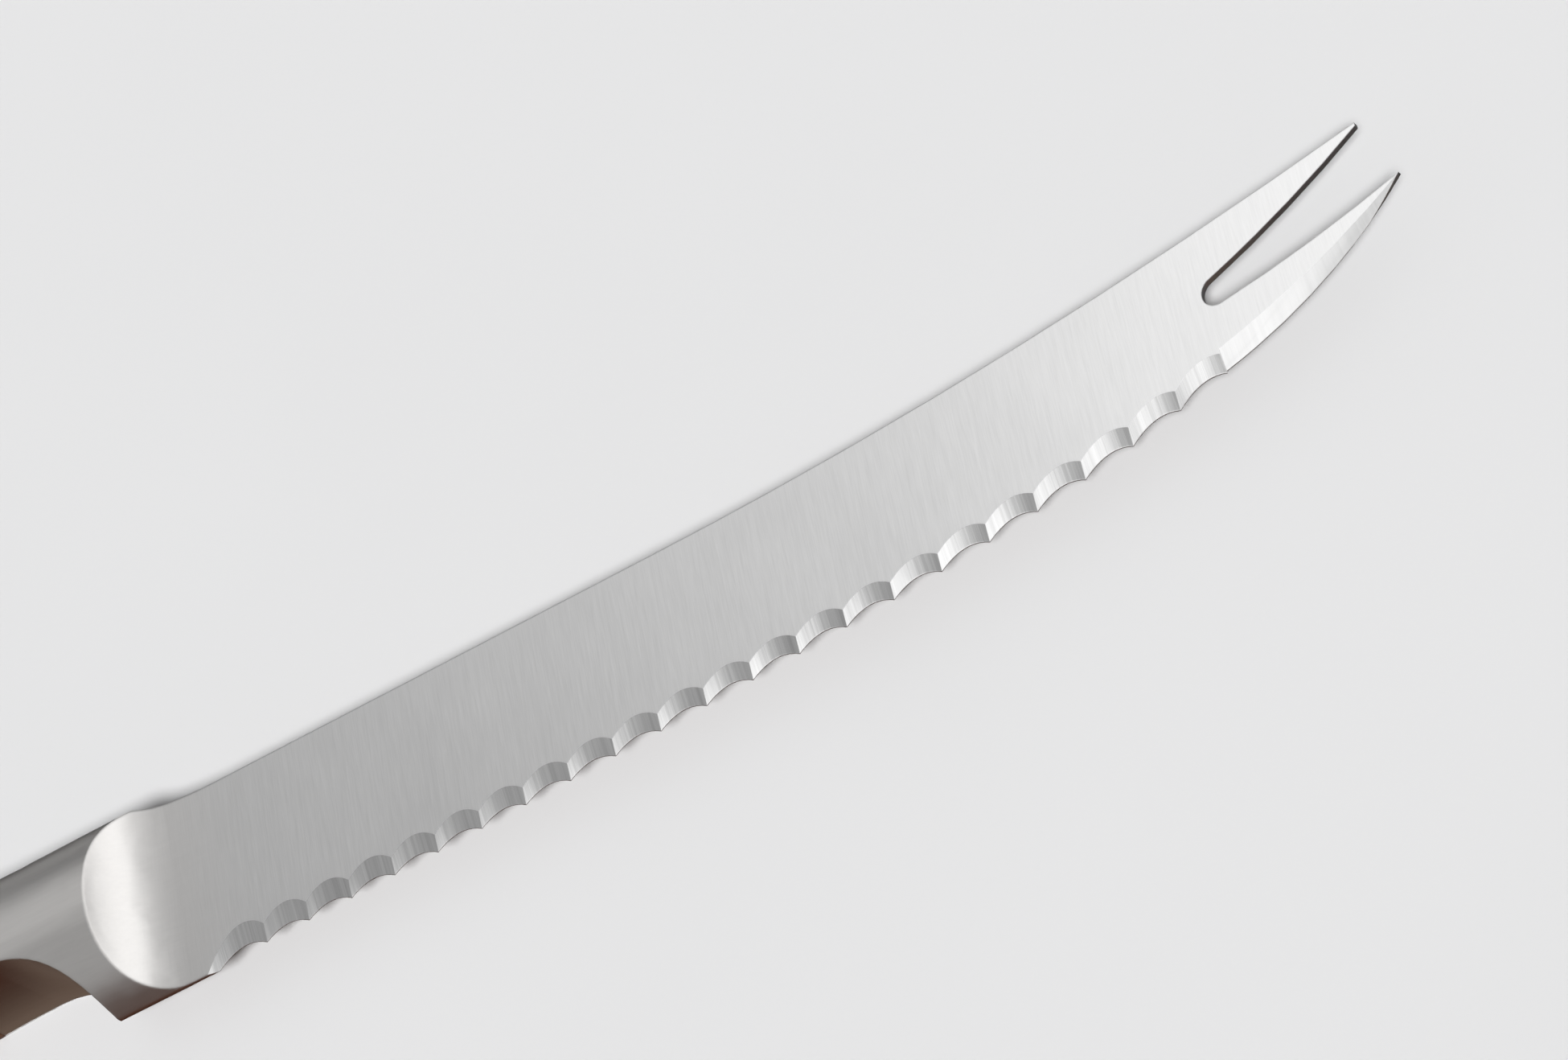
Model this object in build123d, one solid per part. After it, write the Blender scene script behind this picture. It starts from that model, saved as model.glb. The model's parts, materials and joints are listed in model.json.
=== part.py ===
"""Tomato knife with a fluted, fork-tipped blade, a forged bolster and a riveted full-tang handle.

Lengths are millimetres and angles are degrees. The knife is drawn in a working frame: X runs from
the butt to the tip, Y from the cutting edge to the spine, and Z through the thickness. Zero is at
the first full tooth point, halfway through the blade. Before it is written, each piece is moved so
that the knife lies on its side, with the flat of the lower scale on Z = 0 and the origin on that
flat, halfway between the front rivet and the next one.
"""

import os
from math import acos, cos, degrees, radians, sin, sqrt, tan

from build123d import *

# Blade thickness at the heel and at the fork
HEEL_EDGE_THICKNESS = 0.4
HEEL_SPINE_THICKNESS = 2.0
FORK_EDGE_THICKNESS = 0.36
FORK_SPINE_THICKNESS = 0.46

# Blade outline
SPINE_HEIGHT = 16.8
SPINE_STRAIGHT_LENGTH = 48.0
TEETH_COUNT = 22
TOOTH_PITCH = 4.65
TEETH_START_ANGLE = 0.3
TEETH_SWEEP_ANGLES = (2.95, 4.45, 7.95)
TEETH_SWEEP_SHARES = (0.65, 0.19, 0.16)
BLANK_ALLOWANCE = 0.45

# Flutes, ground into the front face only
FLUTE_RADIUS = 12.2
FLUTE_SLOPE_ANGLE = 15.5
FLUTE_LEAN_ANGLE = 5.0
FLUTE_LENGTH = 14.0

# Fork at the tip, measured from the last tooth point
SLOT_END_RADIUS = 1.28
SLOT_SETBACK = 1.03
SLOT_RISE = 7.11
SLOT_UPPER_ANGLE = 18.5
SLOT_LOWER_ANGLE = 6.5
LOWER_TINE_REACH = 17.85
LOWER_TINE_RISE = 9.1
LOWER_TINE_ANGLE = 12.5
UPPER_TINE_REACH = 15.6
UPPER_TINE_RISE = 14.95
UPPER_TINE_TIP_WIDTH = 0.3

# Bevel on the front face of the lower tine, which narrows to nothing at the point
BEVEL_START_WIDTH = 2.0
BEVEL_START_ANGLE = 13.2

# Forged bolster, a barrel that the blade grows out of
BARREL_HEIGHT = 18.65
BARREL_FRONT_THICKNESS = 10.4
BARREL_TOP_HEIGHT = 18.17
BARREL_FLAT_DEPTH = 0.03
ROOT_SETBACK = 7.9
ROOT_FILLET_RADIUS = 7.0
ROOT_LEAN_ANGLE = 2.7
SPINE_BLEND_SETBACK = 3.0
SPINE_BLEND_RADIUS = 42.0
GROOVE_RADIUS = 10.9
GROOVE_SETBACK = 27.0
GROOVE_HEIGHT = 7.45

# Handle outline behind the bolster, with heights taken down from the top of the bolster
SCALE_SETBACK = 34.0
HANDLE_LENGTH = 97.0
GRIP_THICKNESS = 11.1
UNDERSIDE_WIDTH = 4.5
TOP_CROWN_RISE = 0.7
TOP_FALL = 0.8
BUTT_ROUND_LENGTH = 13.0
BUTT_DROP = 10.6
BEAK_INSET = 4.2
BEAK_DROP = 21.6
BEAK_LENGTH = 4.6
BEAK_TIP_DROP = 0.5
BEAK_ANGLE = 16.0
WAIST_HEIGHT = 17.3
BELLY_SHARES = ((0.75, 1.03), (0.48, 0.985), (0.2, 0.86))

# Handle cross-section: rounded, with flats ground on both sides
WAIST_SHARE = 0.48
WAIST_ROUNDING = 0.65
WAIST_FULLNESS = 0.6
BUTT_ROUNDING = 2.4
BUTT_FULLNESS = 1.0
TANG_THICKNESS = 3.0

# Cutler's rivets in two halves, a sleeve and the pin that is driven into it
RIVET_LENGTH_SHARES = {"front": 0.165, "middle": 0.5, "rear": 0.835}
RIVET_LINE_DROP = 7.06
RIVET_LINE_FALL = 3.28
RIVET_HEAD_DIAMETER = 7.0
RIVET_HEAD_HEIGHT = 2.0
SLEEVE_DIAMETER = 5.0
PIN_DIAMETER = 3.2
RIVET_FIT = 0.04
RIVET_END_GAP = 0.2

# Cuts run past the faces that they open by this much
OVERRUN = 3.0

# Places worked out from the sizes above
teeth_length = TEETH_COUNT * TOOTH_PITCH
blank_bottom = -BLANK_ALLOWANCE
root_x = -ROOT_SETBACK
groove_x = -GROOVE_SETBACK
scale_x = -SCALE_SETBACK
butt_x = scale_x - HANDLE_LENGTH
half_grip = GRIP_THICKNESS / 2
half_tang = TANG_THICKNESS / 2
top_y = BARREL_TOP_HEIGHT
barrel_top = top_y + BARREL_FLAT_DEPTH


def heading(angle):
    """Unit vector in the XY plane at an angle from +X."""
    return Vector(cos(radians(angle)), sin(radians(angle)))


def tooth_arcs():
    """Three tangent arcs through the tooth points, from one pitch behind the first full one."""
    arcs = []
    start = Vector(-TOOTH_PITCH, 0)
    direction = heading(TEETH_START_ANGLE)
    for share, sweep in zip(TEETH_SWEEP_SHARES, TEETH_SWEEP_ANGLES):
        radius = share * teeth_length / radians(sweep)
        arc = JernArc(start=start, tangent=direction, radius=radius, arc_size=sweep)
        arcs.append(arc)
        start = arc @ 1
        direction = arc % 1
    return arcs


teeth = tooth_arcs()
last_tooth = teeth[-1] @ 1
slot_center = last_tooth + Vector(SLOT_SETBACK, SLOT_RISE)
lower_tip = last_tooth + Vector(LOWER_TINE_REACH, LOWER_TINE_RISE)
upper_tip = last_tooth + Vector(UPPER_TINE_REACH, UPPER_TINE_RISE)


def tooth_point(index):
    """Tooth point by number along the arcs, where number 0 is one pitch behind the first full one."""
    return Wire(teeth).position_at(index * TOOTH_PITCH, position_mode=PositionMode.LENGTH)


def tine_edge():
    """Outer edge of the lower tine, from the last tooth point to the point of the tine."""
    return TangentArc(last_tooth, lower_tip, tangent=heading(LOWER_TINE_ANGLE))


def fork_lines():
    """Edges of the fork from the last tooth point round both tines to the spine side of the tip."""
    lower_start = slot_center + SLOT_END_RADIUS * heading(SLOT_LOWER_ANGLE - 90)
    upper_start = slot_center + SLOT_END_RADIUS * heading(SLOT_UPPER_ANGLE + 90)
    slot_end = slot_center - Vector(SLOT_END_RADIUS, 0)
    tip_top = upper_tip + Vector(0, UPPER_TINE_TIP_WIDTH)
    return [
        tine_edge(),
        TangentArc(lower_start, lower_tip, tangent=heading(SLOT_LOWER_ANGLE)),
        ThreePointArc(lower_start, slot_end, upper_start),
        TangentArc(upper_start, upper_tip, tangent=heading(SLOT_UPPER_ANGLE)),
        Line(upper_tip, tip_top),
    ]


def spine_lines():
    """Spine from the tip back to the bolster, with the hollow blend up to the top of the barrel."""
    spine_start = Vector(-SPINE_BLEND_SETBACK, SPINE_HEIGHT)
    straight_end = spine_start + Vector(SPINE_STRAIGHT_LENGTH, 0)
    tip_top = upper_tip + Vector(0, UPPER_TINE_TIP_WIDTH)
    blend_angle = degrees(acos(1 - (top_y - SPINE_HEIGHT) / SPINE_BLEND_RADIUS))
    return [
        TangentArc(straight_end, tip_top, tangent=(1, 0)),
        Line(spine_start, straight_end),
        JernArc(start=spine_start, tangent=(-1, 0), radius=SPINE_BLEND_RADIUS, arc_size=-blend_angle),
    ]


def handle_lines(blend_end):
    """Handle from the end of the spine blend, round the butt and its beak, to the finger groove."""
    top_front = Vector(scale_x, top_y)
    top_middle = Vector(scale_x - HANDLE_LENGTH / 2, top_y + TOP_CROWN_RISE)
    top_rear = Vector(butt_x + BUTT_ROUND_LENGTH, top_y - TOP_FALL)
    butt_rear = Vector(butt_x, top_y - BUTT_DROP)
    beak_rear = Vector(butt_x + BEAK_INSET, top_y - BEAK_DROP)
    beak_front = beak_rear + Vector(BEAK_LENGTH, -BEAK_TIP_DROP)
    belly = [
        Vector(scale_x - length_share * HANDLE_LENGTH, top_y - height_share * WAIST_HEIGHT)
        for length_share, height_share in BELLY_SHARES
    ]
    groove_top = Vector(groove_x, GROOVE_HEIGHT)
    top = ThreePointArc(top_front, top_middle, top_rear)
    butt = TangentArc(top_rear, butt_rear, tangent=top % 1)
    heel = TangentArc(butt_rear, beak_rear, tangent=butt % 1)
    beak = TangentArc(beak_rear, beak_front, tangent=heel % 1)
    underside = Spline(beak_front, *belly, groove_top, tangents=[heading(BEAK_ANGLE), (1, 0)])
    return [Line(blend_end, top_front), top, butt, heel, beak, underside]


def bolster_lines():
    """Finger groove, chin and the straight heel up to the blank below the teeth."""
    groove_top = Vector(groove_x, GROOVE_HEIGHT)
    groove_angle = degrees(acos(1 - (GROOVE_HEIGHT - blank_bottom) / GROOVE_RADIUS))
    groove = JernArc(start=groove_top, tangent=(1, 0), radius=GROOVE_RADIUS, arc_size=-groove_angle)
    blank_start = Vector(-TOOTH_PITCH, blank_bottom)
    return [groove, Line(groove @ 1, blank_start)]


def blank_lines():
    """Lower edge of the blank, a little below the tooth points, and the step up to the last one."""
    lowered = [Pos(0, blank_bottom) * arc for arc in teeth]
    return lowered + [Line(last_tooth + Vector(0, blank_bottom), last_tooth)]


def knife_outline():
    """Side outline of the whole knife as one face in the XY plane."""
    spine = spine_lines()
    blend_end = spine[-1] @ 1
    edges = bolster_lines() + blank_lines() + fork_lines() + spine + handle_lines(blend_end)
    return make_face(edges)


def half_thickness(height, low, high):
    """Half the blade's thickness at a height, on the straight taper between two named places."""
    low_height, low_thickness = low
    high_height, high_thickness = high
    share = (height - low_height) / (high_height - low_height)
    return (low_thickness + share * (high_thickness - low_thickness)) / 2


def heel_half_thickness(height):
    """Half thickness of the blade where it leaves the bolster."""
    return half_thickness(height, (0, HEEL_EDGE_THICKNESS), (SPINE_HEIGHT, HEEL_SPINE_THICKNESS))


def fork_half_thickness(height):
    """Half thickness of the blade at the point of the lower tine."""
    low = (last_tooth.Y, FORK_EDGE_THICKNESS)
    high = (upper_tip.Y, FORK_SPINE_THICKNESS)
    return half_thickness(height, low, high)


def blade_half_thickness(place):
    """Half the blade's thickness at a place between the bolster and the end of the taper."""
    share = (place.X - root_x) / (lower_tip.X + OVERRUN - root_x)
    return (1 - share) * heel_half_thickness(place.Y) + share * fork_half_thickness(place.Y)


def taper_section(x, low, high, half):
    """Upright trapezium across the blade at x, between two heights, with half() as half its width."""
    corners = [
        Vector(x, low, -half(low)),
        Vector(x, high, -half(high)),
        Vector(x, high, half(high)),
        Vector(x, low, half(low)),
    ]
    return make_face(Polyline(*corners, close=True))


def blade_taper():
    """Wedge that thins the blade from spine to edge and from bolster to fork."""
    root = taper_section(root_x, 2 * blank_bottom, SPINE_HEIGHT + OVERRUN, heel_half_thickness)
    tip_x = lower_tip.X + OVERRUN
    tip = taper_section(tip_x, last_tooth.Y / 3, upper_tip.Y + OVERRUN, fork_half_thickness)
    return loft([root, tip], ruled=True)


def flute(index):
    """One flute: a cylinder laid aslant across the front face, through two tooth points at the back."""
    axis = Vector(tan(radians(FLUTE_LEAN_ANGLE)), 1, tan(radians(FLUTE_SLOPE_ANGLE))).normalized()
    depth = (HEEL_EDGE_THICKNESS + FORK_EDGE_THICKNESS) / 4
    first = tooth_point(index) - Vector(0, 0, depth)
    second = tooth_point(index + 1) - Vector(0, 0, depth)
    chord = second - first
    chord = chord - axis * chord.dot(axis)
    across = chord.normalized()
    outward = across.cross(axis)
    lift = sqrt(FLUTE_RADIUS**2 - (chord.length / 2) ** 2)
    center = (first + second) / 2 + outward * lift
    return Plane(origin=center, x_dir=across, z_dir=axis) * Cylinder(FLUTE_RADIUS, FLUTE_LENGTH)


def tine_bevel():
    """Waste outside a slanting cone, from the back edge of the lower tine up to its front face."""
    edge = tine_edge()
    start = last_tooth + BEVEL_START_WIDTH * heading(LOWER_TINE_ANGLE + 90)
    inner = TangentArc(start, lower_tip, tangent=heading(BEVEL_START_ANGLE))
    thickness = 2 * blade_half_thickness(last_tooth)
    rings = []
    for share in (-1, 2):
        center = edge.arc_center + share * (inner.arc_center - edge.arc_center)
        radius = edge.radius + share * (inner.radius - edge.radius)
        level = (share - 1 / 2) * thickness
        rings.append(Pos(center.X, center.Y, level) * Circle(radius))
    keep = loft(rings, ruled=True)
    length = LOWER_TINE_REACH + OVERRUN
    height = 2 * LOWER_TINE_RISE
    block = Box(length, height, 2 * thickness, align=(Align.MIN, Align.MIN, Align.CENTER))
    return Pos(last_tooth.X, last_tooth.Y - OVERRUN) * block - keep


def blade(outline):
    """Blade in front of the bolster: tapered blank, flutes and the bevel on the lower tine."""
    blank = extrude(outline, amount=HEEL_SPINE_THICKNESS, both=True) & blade_taper()
    flutes = [flute(index) for index in range(TEETH_COUNT)]
    return blank - flutes - tine_bevel()


def root_cutter():
    """Waste beside the blade's root: a hollow fillet that leans with the face of the blade."""
    low = 2 * blank_bottom
    floor = heel_half_thickness(low)
    roof = floor + ROOT_FILLET_RADIUS
    start = Vector(root_x - ROOT_FILLET_RADIUS, low, roof)
    tangent_point = Vector(root_x, low, floor)
    beyond_low = Vector(root_x + OVERRUN, low, floor)
    beyond_high = Vector(root_x + OVERRUN, low, roof)
    edges = [
        TangentArc(tangent_point, start, tangent=(-1, 0, 0)),
        Line(tangent_point, beyond_low),
        Line(beyond_low, beyond_high),
        Line(beyond_high, start),
    ]
    rise = (heel_half_thickness(SPINE_HEIGHT) - heel_half_thickness(0)) / SPINE_HEIGHT
    lean = Vector(-tan(radians(ROOT_LEAN_ANGLE)), 1, rise)
    reach = BARREL_TOP_HEIGHT + OVERRUN
    return extrude(make_face(edges), amount=reach, dir=lean)


def drop_section(x, top, height, width, underside_width):
    """Upright section across the knife at x: half an ellipse above, narrowing to a flat below."""
    half_edge = underside_width / 2
    right = Vector(0, width / 2)
    left = Vector(0, -width / 2)
    bottom_right = Vector(-height / 2, half_edge)
    bottom_left = Vector(-height / 2, -half_edge)
    edges = [
        EllipticalCenterArc((0, 0), height / 2, width / 2, start_angle=-90, arc_size=180),
        TangentArc(right, bottom_right, tangent=(-1, 0)),
        Line(bottom_right, bottom_left),
        TangentArc(left, bottom_left, tangent=(-1, 0)),
    ]
    plane = Plane(origin=(x, top - height / 2, 0), x_dir=(0, 1, 0), z_dir=(1, 0, 0))
    return plane * make_face(edges)


def barrel_rear_section():
    """Section that the bolster and the handle share where they meet."""
    return drop_section(scale_x, barrel_top, BARREL_HEIGHT, GRIP_THICKNESS, HEEL_EDGE_THICKNESS)


def bolster(outline):
    """Barrel behind the blade, cut by the knife's outline and hollowed on both sides of the root."""
    front = drop_section(
        root_x, barrel_top, BARREL_HEIGHT, BARREL_FRONT_THICKNESS, HEEL_EDGE_THICKNESS
    )
    barrel = loft([front, barrel_rear_section()], ruled=True)
    cutter = root_cutter()
    body = extrude(outline, amount=GRIP_THICKNESS, both=True) & barrel
    return body - cutter - mirror(cutter, about=Plane.XY)


def grip(outline):
    """Whole handle behind the bolster, before it is divided into tang and scales."""
    waist_x = scale_x - WAIST_SHARE * HANDLE_LENGTH
    waist_top = top_y + TOP_CROWN_RISE + WAIST_ROUNDING
    waist_height = WAIST_HEIGHT + 2 * WAIST_ROUNDING
    waist_width = GRIP_THICKNESS + 2 * WAIST_FULLNESS
    butt_height = BEAK_DROP + 2 * BUTT_ROUNDING
    butt_width = GRIP_THICKNESS + 2 * BUTT_FULLNESS
    sections = [
        barrel_rear_section(),
        drop_section(waist_x, waist_top, waist_height, waist_width, UNDERSIDE_WIDTH),
        drop_section(
            butt_x - OVERRUN, top_y + BUTT_ROUNDING, butt_height, butt_width, UNDERSIDE_WIDTH
        ),
    ]
    flats = extrude(outline, amount=half_grip, both=True)
    return flats & loft(sections)


def rivet_places():
    """Rivet centres by name, on a line that falls a little towards the butt."""
    places = {}
    for name, share in RIVET_LENGTH_SHARES.items():
        drop = RIVET_LINE_DROP + share * RIVET_LINE_FALL
        places[name] = Vector(scale_x - share * HANDLE_LENGTH, top_y - drop)
    return places


def rivet_hole(place, clearance):
    """Space for one rivet: a shank right through the handle and a head sunk in each side."""
    shank = Cylinder(SLEEVE_DIAMETER / 2 + clearance, 2 * (half_grip + OVERRUN))
    head_height = RIVET_HEAD_HEIGHT + OVERRUN
    head = Cylinder(
        RIVET_HEAD_DIAMETER / 2 + clearance, head_height, align=(Align.CENTER, Align.CENTER, Align.MIN)
    )
    front = Pos(0, 0, half_grip - RIVET_HEAD_HEIGHT) * head
    back = mirror(front, about=Plane.XY)
    return Pos(place.X, place.Y) * (shank + front + back)


def rivet_sleeve(place, grip_body):
    """Rear half of a rivet: a head in the back scale and a bored shank."""
    head_top = RIVET_HEAD_HEIGHT - half_grip
    shank_top = half_grip - RIVET_HEAD_HEIGHT - RIVET_END_GAP
    upward = (Align.CENTER, Align.CENTER, Align.MIN)
    head = Pos(0, 0, -half_grip) * Cylinder(RIVET_HEAD_DIAMETER / 2, RIVET_HEAD_HEIGHT, align=upward)
    shank = Pos(0, 0, head_top) * Cylinder(SLEEVE_DIAMETER / 2, shank_top - head_top, align=upward)
    bore = Pos(0, 0, head_top) * Cylinder(PIN_DIAMETER / 2, 2 * half_grip, align=upward)
    return (Pos(place.X, place.Y) * (head + shank - bore)) & grip_body


def rivet_pin(place, grip_body):
    """Front half of a rivet: a head in the front scale and a solid pin inside the sleeve."""
    head_bottom = half_grip - RIVET_HEAD_HEIGHT
    pin_bottom = RIVET_HEAD_HEIGHT - half_grip + RIVET_END_GAP
    upward = (Align.CENTER, Align.CENTER, Align.MIN)
    head = Pos(0, 0, head_bottom) * Cylinder(
        RIVET_HEAD_DIAMETER / 2, RIVET_HEAD_HEIGHT, align=upward
    )
    pin = Pos(0, 0, pin_bottom) * Cylinder(
        PIN_DIAMETER / 2 - RIVET_FIT, head_bottom - pin_bottom, align=upward
    )
    return (Pos(place.X, place.Y) * (head + pin)) & grip_body


def knife():
    """All pieces of the knife by name, in the working frame."""
    outline = knife_outline()
    grip_body = grip(outline)
    places = rivet_places()
    holes = [rivet_hole(place, RIVET_FIT) for place in places.values()]
    tang_slab = extrude(outline, amount=half_tang, both=True)
    tang = grip_body & tang_slab
    forging = blade(outline) + bolster(outline) + (tang - holes)
    wood = grip_body - tang_slab - holes
    pieces = {
        "blade_forging": forging,
        "front_scale": wood.solids().sort_by(Axis.Z)[-1],
        "back_scale": wood.solids().sort_by(Axis.Z)[0],
    }
    for name, place in places.items():
        pieces[name + "_rivet_pin"] = rivet_pin(place, grip_body)
        pieces[name + "_rivet_sleeve"] = rivet_sleeve(place, grip_body)
    return pieces


def write_pieces():
    """Lay the knife on its side and write each piece to its own file."""
    places = rivet_places()
    middle = (places["front"] + places["middle"]) / 2
    lay = Pos(-middle.X, -middle.Y, half_grip)
    os.makedirs("parts", exist_ok=True)
    for name, shape in knife().items():
        export_step(lay * shape, "parts/" + name + ".step")


write_pieces()
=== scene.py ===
"""Looks for the tomato knife: steel and wood materials, a pale floor, soft light and the photo's camera."""

import json
import math
from typing import NamedTuple

import bpy
from mathutils import Matrix, Vector

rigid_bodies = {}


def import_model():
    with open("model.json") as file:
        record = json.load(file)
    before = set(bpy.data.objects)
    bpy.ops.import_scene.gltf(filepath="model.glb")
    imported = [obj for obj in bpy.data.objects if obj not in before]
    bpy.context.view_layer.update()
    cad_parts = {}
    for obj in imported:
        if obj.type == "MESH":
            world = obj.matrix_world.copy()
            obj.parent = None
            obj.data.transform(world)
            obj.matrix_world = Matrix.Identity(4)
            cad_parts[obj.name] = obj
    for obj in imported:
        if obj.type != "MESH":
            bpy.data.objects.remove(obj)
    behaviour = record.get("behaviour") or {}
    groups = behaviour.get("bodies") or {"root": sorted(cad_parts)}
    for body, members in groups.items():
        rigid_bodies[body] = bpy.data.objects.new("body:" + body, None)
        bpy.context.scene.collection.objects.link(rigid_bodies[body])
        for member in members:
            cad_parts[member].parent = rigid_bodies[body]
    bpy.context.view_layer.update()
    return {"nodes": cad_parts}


# Camera, fitted to the photo: place in metres, and its axes as the columns of a rotation
CAMERA_PLACE = (0.266554, -0.191231, 0.271126)
CAMERA_TURN = (
    (0.812952, 0.423156, 0.400060),
    (-0.162873, 0.824805, -0.541451),
    (-0.559090, 0.375015, 0.739448),
)
CAMERA_LENS = 101.538
CAMERA_SENSOR = 36.0
CAMERA_CLIP_START = 0.01
CAMERA_CLIP_END = 20.0

# Where the bolster's polish turns into the blade's brushed finish, in metres along X
POLISH_END_X = 0.050
BRUSH_START_X = 0.068

# How the flutes and the fork's bevel are told from the blade's flat: places in metres, and how far
# a face's normal points up or along the knife
FLUTES_START_X = 0.0600
LAST_TOOTH_X = 0.1630
GROUND_LOWEST_Z = 0.00515
STEEP_NORMAL_Z = 0.2
FLAT_NORMAL_Z = 0.985
BEVEL_NORMAL_X = 0.03
PLAIN_SLOT, FLUTE_SLOT, BEVEL_SLOT = 0, 1, 2

# Ground steel: shares of fine and coarse lines, and of lines and clouds in its tone and roughness
LINE_SHARES = (0.55, 0.45)
TONE_SHARES = (0.7, 0.3)
ROUGHNESS_SHARES = (1.0, 0.5)
COARSE_SCALE_SHARE = 0.42
COARSE_OFFSET = (3, 1, 2)
CLOUD_OFFSET = (7, 5, 1)
TONE_RANGE = (0.35, 0.65)

# Dark hardwood: scales in cells per metre, lengths in metres
BLACK = (0, 0, 0, 1)
WHITE = (1, 1, 1, 1)
WOOD_WARP_SCALES = (18, 70, 70)
WOOD_WARP_PUSH = 6.0
WOOD_BAND_SCALES = (9, 620, 620)
WOOD_BAND_DETAIL = 4.0
WOOD_BAND_ROUGHNESS = 0.62
WOOD_COLOURS = (
    (0.30, (0.022, 0.010, 0.006, 1)),
    (0.48, (0.060, 0.027, 0.015, 1)),
    (0.62, (0.098, 0.047, 0.026, 1)),
    (0.75, (0.050, 0.021, 0.012, 1)),
)
PORE_SCALES = (160, 5200, 5200)
PORE_OFFSET = (2, 4, 6)
PORE_COLOURS = ((0.36, BLACK), (0.46, WHITE))
PORE_DARKNESS = 0.55
WOOD_HEIGHT_SHARES = (0.35, 0.65)
WOOD_ROUGHNESS = (0.36, 0.52)
WOOD_EDGE_RADIUS = 0.0006
WOOD_GRAIN_DEPTH = 0.00006
WOOD_GRAIN_STRENGTH = 0.7

# Floor: size and depth in metres, scales in cells per metre
FLOOR_SIZE = 6.0
FLOOR_COLOUR = (0.83, 0.83, 0.835, 1)
FLOOR_DARK_SHARE = 0.985
FLOOR_CLOUD_SCALE = 9
FLOOR_CLOUD_RANGE = (0.35, 0.65)
FLOOR_GRAIN_SCALE = 1400
FLOOR_GRAIN_DEPTH = 0.00005
FLOOR_GRAIN_STRENGTH = 0.2
FLOOR_ROUGHNESS = 0.9
FLOOR_SPECULAR = 0.1

# Light on the floor and the backdrop behind it: the key's place gives its direction only
BACKDROP_LEVEL = 0.8
FILL_LEVEL = 0.17
KEY_PLACE = (1.04, -2.17, 2.9)
KEY_STRENGTH = 3.22
KEY_SPREAD_ANGLE = 11.0

# A panel above the knife that only reflections see. Its brightness at places along X, in metres,
# is given for its near part, which the flutes show, and its far part, which the flat shows. The
# one turns into the other between two places along Y
PANEL_HEIGHT = 0.13
PANEL_CORNERS = ((-0.6, -0.06), (0.6, 0.22))
PANEL_NEAR = (
    (-0.5, 0.38), (-0.1, 0.37), (0.008, 0.39), (0.03, 0.44), (0.045, 0.48), (0.06, 0.54),
    (0.07, 0.63), (0.083, 0.76), (0.095, 0.92), (0.105, 1.05), (0.117, 1.18), (0.13, 1.28),
    (0.15, 1.33), (0.158, 1.24), (0.168, 1.02), (0.178, 0.90), (0.2, 0.84), (0.6, 0.92),
)
PANEL_FAR = (
    (-0.5, 0.56), (-0.03, 0.60), (0.006, 0.70), (0.044, 0.84), (0.091, 1.06), (0.125, 1.45),
    (0.6, 1.2),
)
PANEL_TURN = (0.03, 0.075)
PANEL_STRENGTH = 2.0

# Lines of one brightness on the near part lean by this much between two places along Y, and stand
# upright again between two places along X
PANEL_LEAN = 0.04
PANEL_LEAN_Y = 0.02
PANEL_UPRIGHT = (0.11, 0.15)

# Dark cards in front of and behind the knife that only reflections see, with colours along Y: painted shade
# in the metal's reflections
CARD_HEIGHT = 0.0003
# The front card paints the floor shaded dark under the knife, and a brown reflection of wood, into the
# metal
FRONT_SHADE_CARD_CORNERS = ((-0.14, -0.20), (0.25, 0.03))
FRONT_SHADE_CARD_COLOURS = (
    (-0.05, (0.11, 0.062, 0.042, 1)),
    (-0.011, (0.070, 0.022, 0.012, 1)),
    (-0.008, (0.034, 0.012, 0.007, 1)),
    (-0.003, (0.17, 0.120, 0.092, 1)),
    (0.004, (0.042, 0.040, 0.040, 1)),
)
# The back card paints a dim floor behind the knife into the metal's reflections, as painted shade
BACK_SHADE_CARD_CORNERS = ((-0.14, 0.03), (0.055, 0.16))
BACK_SHADE_CARD_COLOURS = ((0.03, (0.20, 0.195, 0.19, 1)), (0.16, (0.34, 0.34, 0.34, 1)))

# Round the panel and the cards, metal sees a room by its direction. Each side has the direction's
# X and a level. Along the direction's Y the room fades from brown in front, and to a share behind
DIM_SIDE = (-0.3, 0.42)
BRIGHT_SIDE = (0.5, 1.15)
FRONT_FADE = (-0.76, -0.52)
FRONT_BROWN = (0.066, 0.027, 0.016, 1)
BACK_FADE = (0.58, 0.88)
BACK_LEVEL_SHARE = 0.28


class Look(NamedTuple):
    """How one kind of ground steel looks, with lengths in metres and scales in cells per metre."""

    levels: tuple
    warmth: float
    roughness: tuple
    line_scales: tuple
    line_depth: float
    anisotropy: float
    cloud_scale: float
    edge_radius: float


BRUSHED = Look(
    levels=(0.70, 0.81), warmth=0.001, roughness=(0.27, 0.40), line_scales=(6000, 320, 320),
    line_depth=0.000004, anisotropy=0.45, cloud_scale=80, edge_radius=0.00018,
)
FLUTED = Look(
    levels=(0.58, 0.85), warmth=0.001, roughness=(0.07, 0.15), line_scales=(3400, 50, 50),
    line_depth=0.000014, anisotropy=0.4, cloud_scale=90, edge_radius=0.00006,
)
BEVELLED = Look(
    levels=(0.70, 0.80), warmth=0.001, roughness=(0.14, 0.24), line_scales=(2600, 90, 90),
    line_depth=0.000003, anisotropy=0.4, cloud_scale=140, edge_radius=0.00006,
)
POLISHED = Look(
    levels=(0.69, 0.74), warmth=0.022, roughness=(0.26, 0.34), line_scales=(300, 2600, 2600),
    line_depth=0.0000012, anisotropy=0.2, cloud_scale=60, edge_radius=0.0004,
)
RIVETED = Look(
    levels=(0.66, 0.74), warmth=0.004, roughness=(0.24, 0.36), line_scales=(5200, 260, 260),
    line_depth=0.000004, anisotropy=0.2, cloud_scale=200, edge_radius=0.0001,
)


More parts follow.
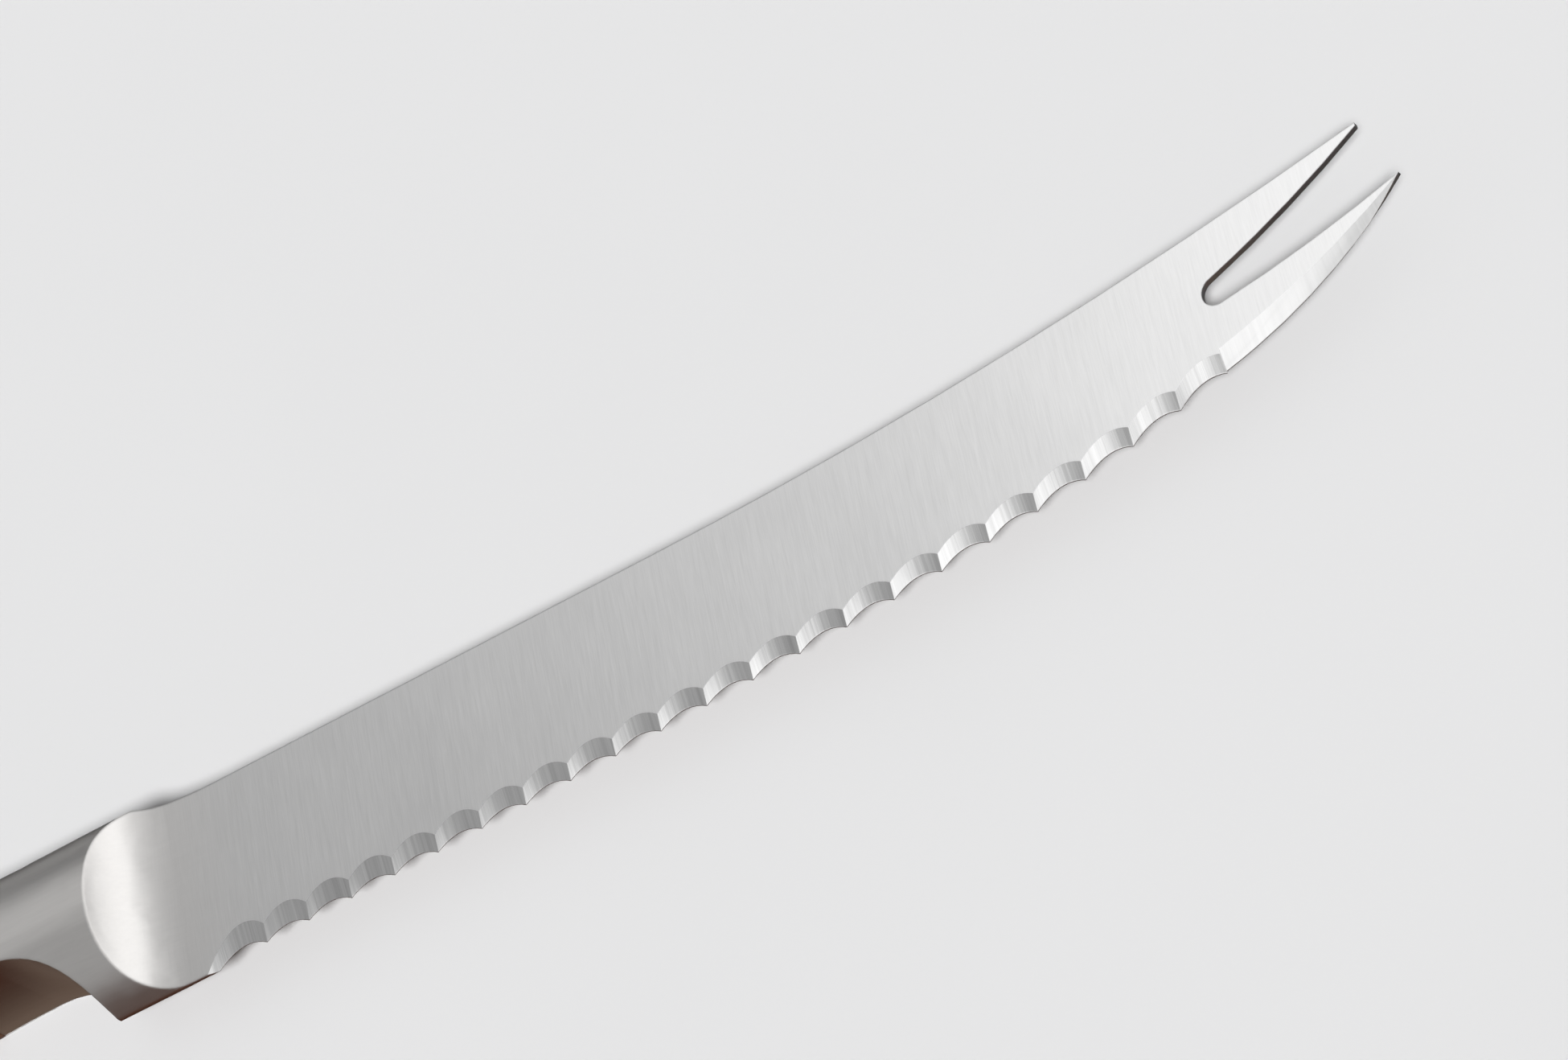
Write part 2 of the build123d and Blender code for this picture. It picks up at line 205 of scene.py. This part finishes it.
class Tree:
    """Adds nodes to a material or world and links their sockets in one call."""

    def __init__(self, owner):
        owner.use_nodes = True
        self.nodes = owner.node_tree.nodes
        self.links = owner.node_tree.links
        self.nodes.clear()

    def add(self, kind, inputs=None, **settings):
        node = self.nodes.new(kind)
        for name, value in settings.items():
            setattr(node, name, value)
        for name, value in (inputs or {}).items():
            self.feed(node.inputs[name], value)
        return node

    def feed(self, socket, value):
        if isinstance(value, bpy.types.NodeSocket):
            self.links.new(value, socket)
        else:
            socket.default_value = value

    def math(self, operation, first, second=0.0):
        return self.add("ShaderNodeMath", {0: first, 1: second}, operation=operation).outputs[0]

    def weigh(self, first, second, shares):
        """Sum of two values, each times its share."""
        parts = [self.math("MULTIPLY", value, share) for value, share in zip((first, second), shares)]
        return self.math("ADD", *parts)

    def remap(self, value, start, end):
        """Straight line between two places, each given as (value, result), and level past them."""
        (from_min, to_min), (from_max, to_max) = start, end
        limits = {"From Min": from_min, "From Max": from_max, "To Min": to_min, "To Max": to_max}
        return self.add("ShaderNodeMapRange", {"Value": value, **limits}).outputs["Result"]

    def fade(self, value, start, end):
        """Smooth step from 0 at the start to 1 at the end."""
        return self.add(
            "ShaderNodeMapRange",
            {"Value": value, "From Min": start, "From Max": end},
            interpolation_type="SMOOTHSTEP",
        ).outputs["Result"]

    def object_point(self):
        return self.add("ShaderNodeTexCoord").outputs["Object"]

    def split(self, vector):
        return self.add("ShaderNodeSeparateXYZ", {0: vector}).outputs

    def stretched_point(self, scales, offset=(0, 0, 0)):
        """Object's point in cells of a given number per metre along each axis."""
        return self.add(
            "ShaderNodeMapping",
            {"Vector": self.object_point(), "Scale": scales, "Location": offset},
        ).outputs[0]

    def noise(self, point, detail, roughness):
        return self.add(
            "ShaderNodeTexNoise",
            {"Vector": point, "Scale": 1.0, "Detail": detail, "Roughness": roughness},
        ).outputs["Fac"]

    def stretched_noise(self, scales, detail=3.0, roughness=0.6, offset=(0, 0, 0)):
        return self.noise(self.stretched_point(scales, offset), detail, roughness)

    def ramp(self, value, stops):
        ramp = self.add("ShaderNodeValToRGB", {"Fac": value})
        elements = ramp.color_ramp.elements
        while len(elements) < len(stops):
            elements.new(0.5)
        for element, (place, colour) in zip(elements, stops):
            element.position = place
            element.color = colour
        return ramp.outputs["Color"]

    def placed_ramp(self, value, stops):
        """Ramp of colours between places that aren't limited to the range from 0 to 1."""
        first, last = stops[0][0], stops[-1][0]
        share = self.remap(value, (first, 0), (last, 1))
        return self.ramp(share, [((place - first) / (last - first), colour) for place, colour in stops])

    def mix_colours(self, factor, first, second, blend_type="MIX"):
        return self.add(
            "ShaderNodeMix",
            {"Factor": factor, "A": first, "B": second},
            data_type="RGBA",
            blend_type=blend_type,
        ).outputs["Result"]

    def mix_shaders(self, factor, first, second):
        return self.add("ShaderNodeMixShader", {0: factor, 1: first, 2: second}).outputs[0]

    def rounded_normal(self, radius, height, depth, strength=1.0):
        """Bump over edges that are softened by a radius."""
        soft = self.add("ShaderNodeBevel", {"Radius": radius}, samples=4)
        return self.add(
            "ShaderNodeBump",
            {"Strength": strength, "Distance": depth, "Height": height, "Normal": soft.outputs[0]},
        ).outputs[0]

    def surface(self, inputs):
        return self.add("ShaderNodeBsdfPrincipled", inputs).outputs[0]

    def glow(self, colour, strength):
        return self.add("ShaderNodeEmission", {"Color": colour, "Strength": strength}).outputs[0]

    def background(self, colour, strength):
        return self.add("ShaderNodeBackground", {"Color": colour, "Strength": strength}).outputs[0]

    def finish(self, kind, surface):
        output = self.add(kind)
        self.links.new(surface, output.inputs["Surface"])


def grey(level, warmth=0.0):
    return (level * (1 + warmth), level, level * (1 - warmth), 1)


def new_material(name):
    material = bpy.data.materials.new(name)
    return material, Tree(material)


def steel_shader(tree, look):
    """Fine lines stretched one way, soft cloudy variation and a matching bump."""
    fine = tree.stretched_noise(look.line_scales, detail=2.0)
    coarse_scales = tuple(scale * COARSE_SCALE_SHARE for scale in look.line_scales)
    coarse = tree.stretched_noise(coarse_scales, detail=3.0, offset=COARSE_OFFSET)
    cloud = tree.stretched_noise((look.cloud_scale,) * 3, detail=2.0, offset=CLOUD_OFFSET)
    lines = tree.weigh(fine, coarse, LINE_SHARES)
    tone = tree.weigh(lines, cloud, TONE_SHARES)
    tone_stops = [(place, grey(level, look.warmth)) for place, level in zip(TONE_RANGE, look.levels)]
    low_roughness, high_roughness = look.roughness
    roughness_tone = tree.weigh(lines, cloud, ROUGHNESS_SHARES)
    tangent = tree.add("ShaderNodeTangent", direction_type="RADIAL", axis="X")
    return tree.surface(
        {
            "Base Color": tree.ramp(tone, tone_stops),
            "Metallic": 1.0,
            "Roughness": tree.remap(roughness_tone, (0, low_roughness), (1, high_roughness)),
            "Anisotropic": look.anisotropy,
            "Normal": tree.rounded_normal(look.edge_radius, lines, look.line_depth),
            "Tangent": tangent.outputs[0],
        }
    )


def steel_material(name, look):
    material, tree = new_material(name)
    tree.finish("ShaderNodeOutputMaterial", steel_shader(tree, look))
    return material


def blade_material():
    """Polished bolster that turns into the brushed blade along the hollow between them."""
    material, tree = new_material("blade_steel")
    place = tree.split(tree.object_point())["X"]
    turn = tree.fade(place, POLISH_END_X, BRUSH_START_X)
    mixed = tree.mix_shaders(turn, steel_shader(tree, POLISHED), steel_shader(tree, BRUSHED))
    tree.finish("ShaderNodeOutputMaterial", mixed)
    return material


def wood_material():
    """Dark oiled hardwood: long growth bands, short open pores and a satin finish."""
    material, tree = new_material("dark_hardwood")
    warp = tree.stretched_noise(WOOD_WARP_SCALES, detail=2.0)
    sideways = tree.math("MULTIPLY", warp, WOOD_WARP_PUSH)
    push = tree.add("ShaderNodeCombineXYZ", {"Y": sideways, "Z": warp}).outputs[0]
    point = tree.stretched_point(WOOD_BAND_SCALES)
    bent = tree.add("ShaderNodeVectorMath", {0: point, 1: push}, operation="ADD").outputs[0]
    bands = tree.noise(bent, WOOD_BAND_DETAIL, WOOD_BAND_ROUGHNESS)
    pores = tree.ramp(tree.stretched_noise(PORE_SCALES, detail=1.0, offset=PORE_OFFSET), PORE_COLOURS)
    wood = tree.ramp(bands, WOOD_COLOURS)
    height = tree.weigh(bands, pores, WOOD_HEIGHT_SHARES)
    low_roughness, high_roughness = WOOD_ROUGHNESS
    shader = tree.surface(
        {
            "Base Color": tree.mix_colours(PORE_DARKNESS, wood, pores, "MULTIPLY"),
            "Roughness": tree.remap(bands, (0, low_roughness), (1, high_roughness)),
            "Normal": tree.rounded_normal(
                WOOD_EDGE_RADIUS, height, WOOD_GRAIN_DEPTH, WOOD_GRAIN_STRENGTH
            ),
        }
    )
    tree.finish("ShaderNodeOutputMaterial", shader)
    return material


def floor_material():
    """Matt pale card with a very faint cloudiness."""
    material, tree = new_material("pale_card")
    cloud = tree.stretched_noise((FLOOR_CLOUD_SCALE,) * 3, detail=3.0)
    dark_colour = tuple(c * FLOOR_DARK_SHARE for c in FLOOR_COLOUR[:3]) + (1,)
    colour = tree.ramp(cloud, list(zip(FLOOR_CLOUD_RANGE, (dark_colour, FLOOR_COLOUR))))
    grain = tree.stretched_noise((FLOOR_GRAIN_SCALE,) * 3, detail=2.0)
    bump = tree.add(
        "ShaderNodeBump",
        {"Strength": FLOOR_GRAIN_STRENGTH, "Distance": FLOOR_GRAIN_DEPTH, "Height": grain},
    )
    shader = tree.surface(
        {
            "Base Color": colour,
            "Roughness": FLOOR_ROUGHNESS,
            "Specular IOR Level": FLOOR_SPECULAR,
            "Normal": bump.outputs[0],
        }
    )
    tree.finish("ShaderNodeOutputMaterial", shader)
    return material


def set_materials(obj, *materials):
    obj.data.materials.clear()
    for material in materials:
        obj.data.materials.append(material)


def face_slot(face):
    """Material slot of a face of the blade: plain steel, flutes or the fork's bevel."""
    slanted = STEEP_NORMAL_Z < face.normal.z < FLAT_NORMAL_Z
    if not slanted or face.center.x < FLUTES_START_X or face.center.z < GROUND_LOWEST_Z:
        return PLAIN_SLOT
    if face.center.x > LAST_TOOTH_X and face.normal.x > BEVEL_NORMAL_X:
        return BEVEL_SLOT
    return FLUTE_SLOT


def dress_knife(nodes):
    wood = wood_material()
    rivet = steel_material("rivet_steel", RIVETED)
    for name, obj in nodes.items():
        if name.endswith("_scale"):
            set_materials(obj, wood)
        elif "rivet" in name:
            set_materials(obj, rivet)
    blade = nodes["blade_forging"]
    flutes = steel_material("flute_steel", FLUTED)
    bevel = steel_material("bevel_steel", BEVELLED)
    set_materials(blade, blade_material(), flutes, bevel)
    for face in blade.data.polygons:
        face.material_index = face_slot(face)


def level_sheet(name, height, corners, material):
    (x0, y0), (x1, y1) = corners
    mesh = bpy.data.meshes.new(name)
    points = [(x0, y0, height), (x1, y0, height), (x1, y1, height), (x0, y1, height)]
    mesh.from_pydata(points, [], [(0, 1, 2, 3)])
    mesh.materials.append(material)
    sheet = bpy.data.objects.new(name, mesh)
    bpy.context.scene.collection.objects.link(sheet)
    return sheet


def make_floor():
    half = FLOOR_SIZE / 2
    floor = level_sheet("floor", 0, ((-half, -half), (half, half)), floor_material())


def reflector(name, height, corners, material):
    """Level sheet that only shows in reflections."""
    sheet = level_sheet(name, height, corners, material)
    sheet.visible_camera = False
    sheet.visible_diffuse = False
    sheet.visible_shadow = False
    sheet.visible_transmission = False


def panel_stops(levels):
    """Ramp stops of a part of the panel, whose colours are multiplied by its strength."""
    return [(x, grey(level / PANEL_STRENGTH)) for x, level in levels]


def make_panel():
    material, tree = new_material("panel")
    place = tree.split(tree.object_point())
    lean = tree.remap(place["Y"], (-PANEL_LEAN_Y, PANEL_LEAN), (PANEL_LEAN_Y, -PANEL_LEAN))
    upright = tree.fade(place["X"], *PANEL_UPRIGHT)
    lean = tree.math("MULTIPLY", lean, tree.math("SUBTRACT", 1.0, upright))
    leaning = tree.math("ADD", place["X"], lean)
    near = tree.placed_ramp(leaning, panel_stops(PANEL_NEAR))
    far = tree.placed_ramp(place["X"], panel_stops(PANEL_FAR))
    colour = tree.mix_colours(tree.fade(place["Y"], *PANEL_TURN), near, far)
    tree.finish("ShaderNodeOutputMaterial", tree.glow(colour, PANEL_STRENGTH))
    reflector("panel", PANEL_HEIGHT, PANEL_CORNERS, material)


# A card's colour is painted shade or a painted reflection, which only metal shows
def make_card(name, corners, stops):
    material, tree = new_material(name)
    colour = tree.placed_ramp(tree.split(tree.object_point())["Y"], stops)
    tree.finish("ShaderNodeOutputMaterial", tree.glow(colour, 1.0))
    reflector(name, CARD_HEIGHT, corners, material)


def make_key_light():
    """Wide soft light from over the camera's shoulder, which metal does not mirror."""
    light = bpy.data.lights.new("key", "SUN")
    light.energy = KEY_STRENGTH
    light.angle = math.radians(KEY_SPREAD_ANGLE)
    key = bpy.data.objects.new("key", light)
    key.location = KEY_PLACE
    key.rotation_euler = (-Vector(KEY_PLACE)).to_track_quat("-Z", "Y").to_euler()
    key.visible_glossy = False
    bpy.context.scene.collection.objects.link(key)


def make_world():
    """Even backdrop for the camera, weak fill for matt surfaces and a room for metal to mirror."""
    world = bpy.data.worlds.new("studio")
    bpy.context.scene.world = world
    tree = Tree(world)
    path = tree.add("ShaderNodeLightPath").outputs
    mirrored = tree.math("MAXIMUM", path["Is Glossy Ray"], path["Is Transmission Ray"])
    way = tree.split(tree.add("ShaderNodeTexCoord").outputs["Generated"])
    side = tree.remap(way["X"], DIM_SIDE, BRIGHT_SIDE)
    back = tree.remap(tree.fade(way["Y"], *BACK_FADE), (0, 1), (1, BACK_LEVEL_SHARE))
    level = tree.math("MULTIPLY", side, back)
    light = tree.add("ShaderNodeCombineColor", {"Red": level, "Green": level, "Blue": level})
    room = tree.mix_colours(tree.fade(way["Y"], *FRONT_FADE), FRONT_BROWN, light.outputs[0])
    fill = tree.background(grey(1), FILL_LEVEL)
    backdrop = tree.background(grey(1), BACKDROP_LEVEL)
    lit = tree.mix_shaders(mirrored, fill, tree.background(room, 1.0))
    tree.finish("ShaderNodeOutputWorld", tree.mix_shaders(path["Is Camera Ray"], lit, backdrop))


def make_camera():
    data = bpy.data.cameras.new("camera")
    data.lens = CAMERA_LENS
    data.sensor_width = CAMERA_SENSOR
    data.sensor_fit = "HORIZONTAL"
    data.clip_start = CAMERA_CLIP_START
    data.clip_end = CAMERA_CLIP_END
    camera = bpy.data.objects.new("camera", data)
    camera.matrix_world = Matrix.Translation(CAMERA_PLACE) @ Matrix(CAMERA_TURN).to_4x4()
    bpy.context.scene.collection.objects.link(camera)
    bpy.context.scene.camera = camera


def clear_scene():
    for obj in list(bpy.data.objects):
        bpy.data.objects.remove(obj)


clear_scene()
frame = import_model()
bpy.context.scene.view_settings.view_transform = "Standard"
dress_knife(frame["nodes"])
make_floor()
make_panel()
# Painted shade and a painted brown reflection of wood for the metal, in front of the knife
make_card("front_shade_card", FRONT_SHADE_CARD_CORNERS, FRONT_SHADE_CARD_COLOURS)
# Painted shade in the metal's reflections, behind the knife
make_card("back_shade_card", BACK_SHADE_CARD_CORNERS, BACK_SHADE_CARD_COLOURS)
make_key_light()
make_world()
make_camera()

bpy.context.view_layer.update()
